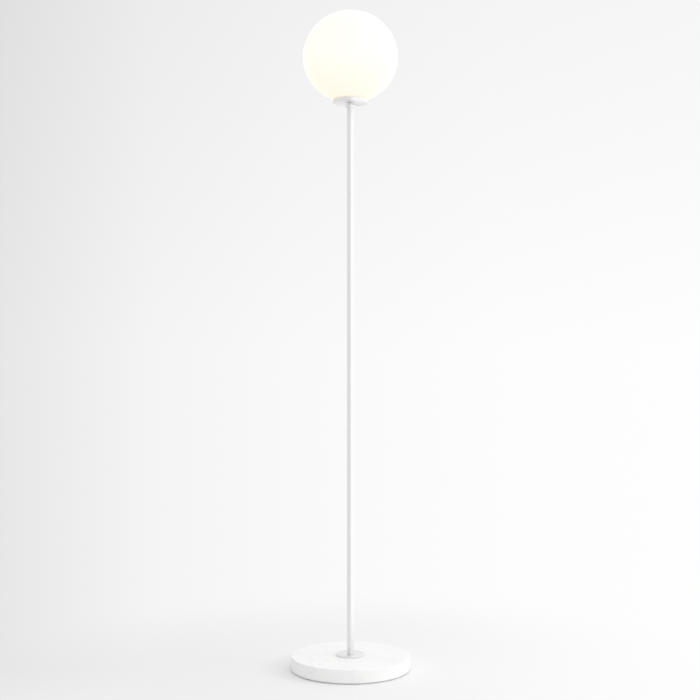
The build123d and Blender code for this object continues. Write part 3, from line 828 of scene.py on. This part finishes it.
def makeHolder():
    h = holderShape
    low, high = heights("holder_cap")
    outline = [(r, low + z) for r, z in h["cap"]]
    grips = [high + z for z in h["capGrips"]]
    makeHolderHalf("holderCap", "holder_cap", outline, h["capRounds"], *grips)

    low, high = heights("holder_shell")
    outline = [(r, low + z) for r, z in h["shellFoot"]]
    outline += [(r, high + z) for r, z in h["shellMouth"]]
    outline += [(r, low + z) for r, z in h["shellLedge"]]
    grips = [low + z for z in h["shellGrips"]]
    makeHolderHalf("holderShell", "holder_shell", outline, h["shellRounds"], *grips)


# E27 screw: the bulb's cap and the holder's brass shell are rolled sheet with the same round thread

rolledScrew = {
    "pitch": 3.62,
    "swing": 0.8,                # height of the round thread
    "wall": (12.0, 15.0),        # the sheet between these radii carries it
    "rowStep": 0.3,
    "segments": 96,
    "shellRadius": 13.7,         # mean outer radius
    "shellSheet": 0.4,
    "shellEye": 10.6,            # hole in the foot
    "shellFoot": 0.5,
    "shellRounds": [0.1, 0.5, 0.15, 0.15, 0.2, 0.1],
    "shellThread": (1.5, -0.5),  # above the foot and below the mouth
    "capRadius": 12.7,
    "capSheet": 0.35,
    "capEye": 11.45,
    "capCone": 1.3,              # how far the cap's foot slopes
    "capRounds": [0.1, 1.0, 0.12, 0.12, 0.8, 0.1],
    "capThread": (1.0, -0.8),
}


def rolledPiece(name, node, outline, rounds, arcSteps, span, outside, metalName, body="lamp_stand"):
    r = rolledScrew
    low, high = heights(node)
    outline = densified(roundedOutline(outline, rounds, arcSteps), *r["wall"], r["rowStep"])
    thread = {
        "Thread Pitch": r["pitch"] * mm,
        "Thread Depth": r["swing"] * mm,
        "Thread Bias": 0.5,
        "Thread From": (low + span[0]) * mm,
        "Thread To": (high + span[1]) * mm,
        "Thread Outside": outside * mm,
        "Round Thread": True,
    }
    stands(turned(name, outline, finishes[metalName], r["segments"], **thread), node, body)


def makeRolledScrews():
    r = rolledScrew
    low, high = heights("contact_shell")
    outer, inner, eye = r["shellRadius"], r["shellRadius"] - r["shellSheet"], r["shellEye"]
    foot = low + r["shellFoot"]
    outline = [(eye, low), (outer, low), (outer, high), (inner, high), (inner, foot), (eye, foot)]
    rolledPiece("contactShell", "contact_shell", outline, r["shellRounds"], 4,
                r["shellThread"], inner - 0.5, "brass")

    low, high = heights("bulb_cap")
    outer, inner, eye = r["capRadius"], r["capRadius"] - r["capSheet"], r["capEye"]
    outline = [(eye, low), (outer, low + r["capCone"]), (outer, high), (inner, high),
               (inner, low + r["capCone"] + 0.2), (eye, low + r["capSheet"])]
    rolledPiece("bulbCap", "bulb_cap", outline, r["capRounds"], 5,
                r["capThread"], r["wall"][0], "bulb_cap_metal", "bulb")


# lamp pipe and screws: real threads, and copies laid out by node trees

pipeShape = {
    "radius": 5.0,
    "bore": 3.5,
    "pitch": 1.0,
    "depth": 0.5,
    "chamfer": 0.5,
    "rowStep": 1 / 6,
    "segments": 48,
}


def pipeLength(name, low, high):
    p = pipeShape
    outer, inner, bevel = p["radius"], p["bore"], p["chamfer"]
    outline = [(inner, low), (outer - bevel, low), (outer, low + bevel),
               (outer, high - bevel), (outer - bevel, high), (inner, high)]
    outline = densified(outline, outer - 0.1, outer + 0.1, p["rowStep"])
    thread = {
        "Thread Pitch": p["pitch"] * mm,
        "Thread Depth": p["depth"] * mm,
        "Thread From": (low - p["pitch"]) * mm,
        "Thread To": (high + p["pitch"]) * mm,
        "Thread Outside": (outer - bevel + 0.02) * mm,
    }
    return turned(name, outline, finishes["zinc_steel"], p["segments"], 50.0, **thread)


def copiesTree():
    # copies of the mesh in rows and columns
    tree, given = newTree("copiesInRows", {
        "Count": "Int", "Step": "Vector", "Rows": "Int", "Row Step": "Vector", "Material": "Material"})
    number = field(tree, "GeometryNodeInputIndex")
    row = maths(tree, "FLOOR", maths(tree, "DIVIDE", plus(tree, number, 0.5), given["Count"]))
    column = maths(tree, "SUBTRACT", number, times(tree, row, given["Count"]))
    across = field(tree, "ShaderNodeVectorMath", {0: given["Step"], "Scale": column}, operation="SCALE")
    along = field(tree, "ShaderNodeVectorMath", {0: given["Row Step"], "Scale": row}, operation="SCALE")
    places = field(tree, "ShaderNodeVectorMath", {0: across, 1: along}, operation="ADD")
    total = times(tree, given["Count"], given["Rows"])
    points = field(tree, "GeometryNodePoints", {"Count": total, "Position": places})
    copies = field(tree, "GeometryNodeInstanceOnPoints", {"Points": points, "Instance": given["Geometry"]})
    return endTree(tree, copies, given["Material"])


def circleTree():
    # copies of the mesh round the pole's axis, each turned with its place
    tree, given = newTree("copiesInCircle", {
        "Count": "Int", "Radius": "Float", "First Angle": "Float", "Material": "Material"})
    share = maths(tree, "DIVIDE", field(tree, "GeometryNodeInputIndex"), given["Count"])
    angle = maths(tree, "MULTIPLY_ADD", share, 2 * pi, given["First Angle"])
    places = onCircle(tree, given["Radius"], angle)
    points = field(tree, "GeometryNodePoints", {"Count": given["Count"], "Position": places})
    turn = field(tree, "ShaderNodeCombineXYZ", {2: angle})
    copies = field(tree, "GeometryNodeInstanceOnPoints",
                   {"Points": points, "Instance": given["Geometry"], "Rotation": turn})
    return endTree(tree, copies, given["Material"])


inRows, inCircle = copiesTree(), circleTree()


def repeated(name, single, tree, material, sizes):
    mesh = single.data
    bpy.data.objects.remove(single)
    return grow(name, mesh, tree, {"Material": material, **sizes})


def moved(piece, turn=(0, 0, 0), shift=(0, 0, 0)):
    # turns about X, Y and Z in degrees, then a shift in millimetres, both put into the mesh
    piece.data.transform(Matrix.LocRotScale(Vector(shift) * mm, Euler([radians(a) for a in turn]), None))
    return piece


def cuboid(size):
    shape = bmesh.new()
    bmesh.ops.create_cube(shape, size=1.0)
    bmesh.ops.scale(shape, vec=Vector(size) * mm, verts=shape.verts)
    return shape


screws = {                       # radii of head and shank; cuts are the sizes of the slots along X and Y
    "cover": {"head": 3.7, "tall": 1.6, "shank": 2.0, "pitch": 0.7, "edge": 0.8,
              "cuts": [(4.6, 0.9), (0.9, 4.6)], "deep": 1.0, "count": 3, "ring": 61.5, "start": 30},
    "clamp": {"head": 2.8, "tall": 1.8, "shank": 1.45, "pitch": 0.7, "edge": 0.4,
              "cuts": [(8, 0.8)], "deep": 0.8},
    "terminal": {"head": 1.6, "tall": 1.4, "shank": 1.2, "pitch": 0.5, "edge": 0.2,
                 "cuts": [(5, 0.6)], "deep": 0.5},
    "holder": {"head": 2.2, "tall": 1.6, "shank": 1.2, "pitch": 0.5, "edge": 0.4,
               "cuts": [(0.6, 6)], "deep": 0.6},
}


def screwOf(kind, whole):
    # head downwards with its face at height 0, threaded shank upwards; whole is its length with the head
    s = screws[kind]
    head, tall, shank, pitch = s["head"], s["tall"], s["shank"], s["pitch"]
    tip = min(0.4, shank / 3)
    corners = [(0, 0), (head, 0), (head, tall), (shank, tall),
               (shank, whole - tip), (shank - tip, whole), (0, whole)]
    outline = roundedOutline(corners, [0, s["edge"], 0.1, 0, 0, 0, 0], 5)
    outline = densified(outline, shank - 0.05, shank + 0.05, pitch / 5)
    thread = {
        "Thread Pitch": pitch * mm,
        "Thread Depth": 0.5 * pitch * mm,
        "Thread From": (tall + 0.3) * mm,
        "Thread To": (whole + pitch) * mm,
        "Thread Outside": (shank - tip + 0.01) * mm,
    }
    screw = turned(kind + "Screw", outline, finishes["zinc_steel"], 36, 40.0, **thread)
    for x, y in s["cuts"]:
        cutter = pieceFrom(cuboid((x, y, 2 * s["deep"])), "cutter")
        modifier = screw.modifiers.new("cut", "BOOLEAN")
        modifier.operation, modifier.solver, modifier.object = "DIFFERENCE", "EXACT", cutter
        evaluated(screw)
        bpy.data.objects.remove(cutter)
    return screw


def uprightScrews(name, node, kind, columns, rows=1):
    # fills the node's box, with the heads below
    first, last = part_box(node)
    middle = (first + last) / 2 / mm
    step = (last - first) / mm - 2 * Vector((1, 1, 0)) * screws[kind]["head"]
    corner = (middle.x - (columns - 1) * step.x / 2, middle.y - (rows - 1) * step.y / 2, first.z / mm)
    single = moved(screwOf(kind, (last.z - first.z) / mm), shift=corner)
    sizes = {"Count": columns, "Step": (step.x * mm, 0, 0), "Rows": rows, "Row Step": (0, step.y * mm, 0)}
    stands(repeated(name, single, inRows, finishes["zinc_steel"], sizes), node)


def makePipesAndScrews():
    steel = finishes["zinc_steel"]
    stands(pipeLength("studPipe", *heights("base_stud")), "base_stud")
    stands(pipeLength("topPipe", *heights("top_nipple")), "top_nipple")
    seam, low = heights("pole_middle")[0], heights("joint_nipples")[0]
    section = heights("pole_upper")[0] - seam
    single = pipeLength("jointPipe", low, 2 * seam - low)
    sizes = {"Count": 2, "Step": (0, 0, section * mm), "Rows": 1}
    stands(repeated("jointPipes", single, inRows, steel, sizes), "joint_nipples")

    low, high = heights("cover_screws")
    s = screws["cover"]
    single = moved(screwOf("cover", high - low), shift=(0, 0, low))
    sizes = {"Count": s["count"], "Radius": s["ring"] * mm, "First Angle": radians(s["start"])}
    stands(repeated("coverScrews", single, inCircle, steel, sizes), "cover_screws")

    uprightScrews("saddleScrews", "saddle_screws", "clamp", 2)
    uprightScrews("blockScrew", "block_screw", "clamp", 1)
    uprightScrews("terminalScrews", "terminal_screws", "terminal", 2, 2)

    first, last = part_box("holder_screws")
    head = screws["holder"]["head"]
    corner = (first.x / mm + head, first.y / mm, first.z / mm + head)
    single = moved(screwOf("holder", (last.y - first.y) / mm), (-90, 0, 0), corner)
    sizes = {"Count": 2, "Step": (last.x - first.x - 2 * head * mm, 0, 0), "Rows": 1}
    stands(repeated("holderScrews", single, inRows, steel, sizes), "holder_screws")


# hexagon nuts: a chamfered round blank cut to six flats

nuts = {
    "stud_nut": {"name": "studNut", "flats": 17.0},
    "dish_nut": {"name": "dishNut", "flats": 14.0},
}
nutShape = {
    "face": 0.97,                # radius of the flat face, as a share of that across the flats
    "chamferSteps": 10,
    "holeChamfer": 0.4,
}


def makeNuts():
    steps, cut = nutShape["chamferSteps"], nutShape["holeChamfer"]
    for node, nut in nuts.items():
        low, high = heights(node)
        flat = nut["flats"] / 2
        face = nutShape["face"] * flat
        wide = flat / cos(pi / 6) - face
        lower = [(face + wide * i / steps, low + wide * tan(pi / 6) * i / steps) for i in range(steps + 1)]
        upper = [(r, low + high - z) for r, z in reversed(lower)]
        outline = [(nutHole, low + cut), (nutHole + cut, low), *lower,
                   *upper, (nutHole + cut, high), (nutHole, high - cut)]
        flats = {"Across Flats": nut["flats"] * mm}
        stands(turned(nut["name"], outline, finishes["zinc_steel"], 96, 25.0, **flats), node)


# light source inside the bulb: twelve packages on a round board, and the driver below it

bulbInside = {
    "chips": 12,
    "chipRing": 17.0,
    "chipSize": (2.8, 3.5),
    "chipBevel": 0.08,
    "chipFrame": 0.45,
    "chipSlope": 0.12,
    "chipDish": 0.15,
    "boardSize": (18.0, 1.6, 26.0),
    "boardBevel": 0.2,
    "boardMiddle": 17.0,         # heights of the driver's parts are above the underside of the bulb's body
    "capacitorLow": 14.0,
    "capacitor": (3.6, 11.0, 4.2),       # radius, length and place in front of the board or behind it
    "coilLow": 15.5,
    "coil": (2.75, 9.0, -3.6),
    "coilFlange": 0.8,
    "coilDepth": 1.0,
    "wire": 0.45,
    "resistors": [(-5.4, 8.0), (-5.4, 26.5), (5.4, 8.0), (5.4, 26.5)],
    "resistorPlace": 2.0,
    "resistor": [(0, -3), (1.1, -3), (1.1, -1.8), (0.9, -1.4), (0.9, 1.4), (1.1, 1.8), (1.1, 3), (0, 3)],
    "resistorRounds": [0, 0.5, 0.3, 0.3, 0.3, 0.3, 0.5, 0],
}


def slab(size, bevel):
    shape = cuboid(size)
    bmesh.ops.bevel(shape, geom=shape.edges, offset=bevel * mm, segments=2, affect="EDGES", profile=0.5)
    return shape


def makeChips():
    b = bulbInside
    low, high = heights("led_chips")
    shape = slab((*b["chipSize"], high - low), b["chipBevel"])
    top = max(shape.faces, key=lambda face: (round(face.calc_center_median().z, 6), face.calc_area()))
    bmesh.ops.inset_individual(shape, faces=[top], thickness=b["chipFrame"] * mm)
    bmesh.ops.inset_individual(shape, faces=[top], thickness=b["chipSlope"] * mm, depth=-b["chipDish"] * mm)
    single = moved(pieceFrom(shape, "ledChip"), shift=(0, 0, (low + high) / 2))
    sizes = {"Count": b["chips"], "Radius": b["chipRing"] * mm, "First Angle": 0.0}
    ring = repeated("ledChips", single, inCircle, finishes["led_phosphor"], sizes)
    ring.data.materials.append(finishes["led_board_white"])
    for face in ring.data.polygons:
        sunk = face.normal.z > 0.9 and face.center.z < (high - 0.5 * b["chipDish"]) * mm
        face.material_index = 0 if sunk else 1
    stands(ring, "led_chips", "bulb")


def joined(name, pieces):
    # one mesh from several, each with its own materials
    shape, materials = bmesh.new(), []
    for piece in pieces:
        before = len(shape.faces)
        shape.from_mesh(piece.data)
        shape.faces.ensure_lookup_table()
        for face in shape.faces[before:]:
            face.material_index += len(materials)
        materials += list(piece.data.materials)
        bpy.data.objects.remove(piece)
    return pieceFrom(shape, name, *materials)


def makeCapacitor(start):
    radius, tall, aside = bulbInside["capacitor"]
    low = start + bulbInside["capacitorLow"]
    high = low + tall
    outline = roundedOutline(
        [(0, low), (radius, low), (radius, low + 1.2), (radius - 0.3, low + 1.5), (radius, low + 1.8),
         (radius, high), (radius - 0.6, high), (radius - 0.7, high - 0.3), (0, high - 0.3)],
        [0, 0.5, 0.1, 0.1, 0.1, 0.3, 0.1, 0.1, 0], 4)
    return moved(turned("capacitor", outline, finishes["black_glass"], 48), shift=(0, aside, 0))


def makeCoil(start):
    b = bulbInside
    radius, tall, aside = b["coil"]
    low = start + b["coilLow"]
    high, wound = low + tall, radius - b["coilDepth"]
    wireLow, wireHigh = low + b["coilFlange"], high - b["coilFlange"]
    outline = roundedOutline(
        [(0, low), (radius, low), (radius, wireLow), (wound, wireLow), (wound, wireHigh),
         (radius, wireHigh), (radius, high), (0, high)], [0, 0.2, 0.2, 0, 0, 0.2, 0.2, 0], 3)
    outline = densified(outline, wound - 0.1, wound + 0.1, b["wire"] / 6)
    wire = {
        "Thread Pitch": b["wire"] * mm,
        "Thread Depth": 0.4 * b["wire"] * mm,
        "Thread From": wireLow * mm,
        "Thread To": wireHigh * mm,
        "Thread Outside": (wound - 0.1) * mm,
        "Round Thread": True,
    }
    coil = turned("coil", outline, finishes["bronze"], 48, **wire)
    coil.data.materials.append(finishes["black_glass"])
    for face in coil.data.polygons:
        isWire = wireLow + 0.1 < face.center.z / mm < wireHigh - 0.1
        face.material_index = 0 if isWire else 1
    return moved(coil, shift=(0, aside, 0))


def makeDriver():
    b = bulbInside
    start = heights("bulb_driver")[0] - b["boardMiddle"] + b["boardSize"][2] / 2
    board = pieceFrom(slab(b["boardSize"], b["boardBevel"]), "board", finishes["circuit_board"])
    parts = [moved(board, shift=(0, 0, start + b["boardMiddle"])), makeCapacitor(start), makeCoil(start)]
    for side, height in b["resistors"]:
        outline = roundedOutline(b["resistor"], b["resistorRounds"], 3)
        resistor = turned("resistor", outline, finishes["led_phosphor"], 24)
        parts.append(moved(resistor, shift=(side, b["resistorPlace"], start + height)))
    stands(joined("bulbDriver", parts), "bulb_driver", "bulb")


makeGlobe()
makePole()
makeRing("pole_ferrule")
makeRing("neck_spacer")
makeDish()
makeRing("base_collar")
makeFelt()
print("outside pieces made")
makeHolder()
makeRolledScrews()
makePipesAndScrews()
makeNuts()
makeChips()
makeDriver()
print("inside pieces made")


def paint(node, material):
    mesh = nodes[node].data
    mesh.materials.clear()
    mesh.materials.append(material)


for node, slot in slotOf.items():
    paint(node, finishes[slot])
for node in ("pole_lower", "pole_middle", "pole_upper"):
    paint(node, poleNickel)
paint("globe_dish", dishNickel)
print("nodes painted")
